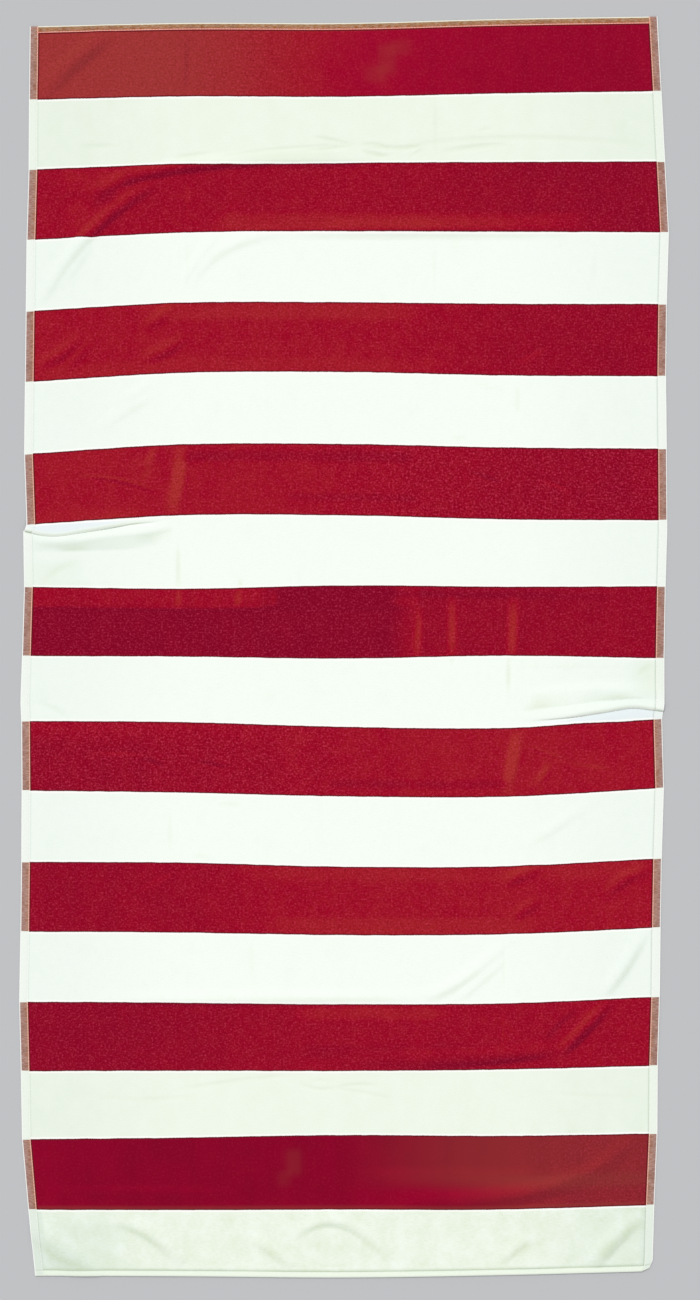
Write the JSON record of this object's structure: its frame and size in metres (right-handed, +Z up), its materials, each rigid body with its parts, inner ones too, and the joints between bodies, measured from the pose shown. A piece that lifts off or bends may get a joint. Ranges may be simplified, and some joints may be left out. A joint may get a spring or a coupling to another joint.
{
  "type": "beach towel",
  "caption": "Striped terry beach towel lying open on a floor, its edges hemmed, with soft folds and a pinched pleat running in from either side.",
  "frame": {"origin": "on the floor, under the middle of the laid towel", "axes": "+Z up off the floor, +Y along the towel towards its head hem, +X to the right seen from above"},
  "size_m": [0.7914, 1.5358, 0.0071],
  "materials": {
    "terry": "soft matt looped pile in crimson and mint-white cross stripes, with flat woven hems"
  },
  "bodies": {
    "root": {"towel": "terry"}
  },
  "joints": []
}
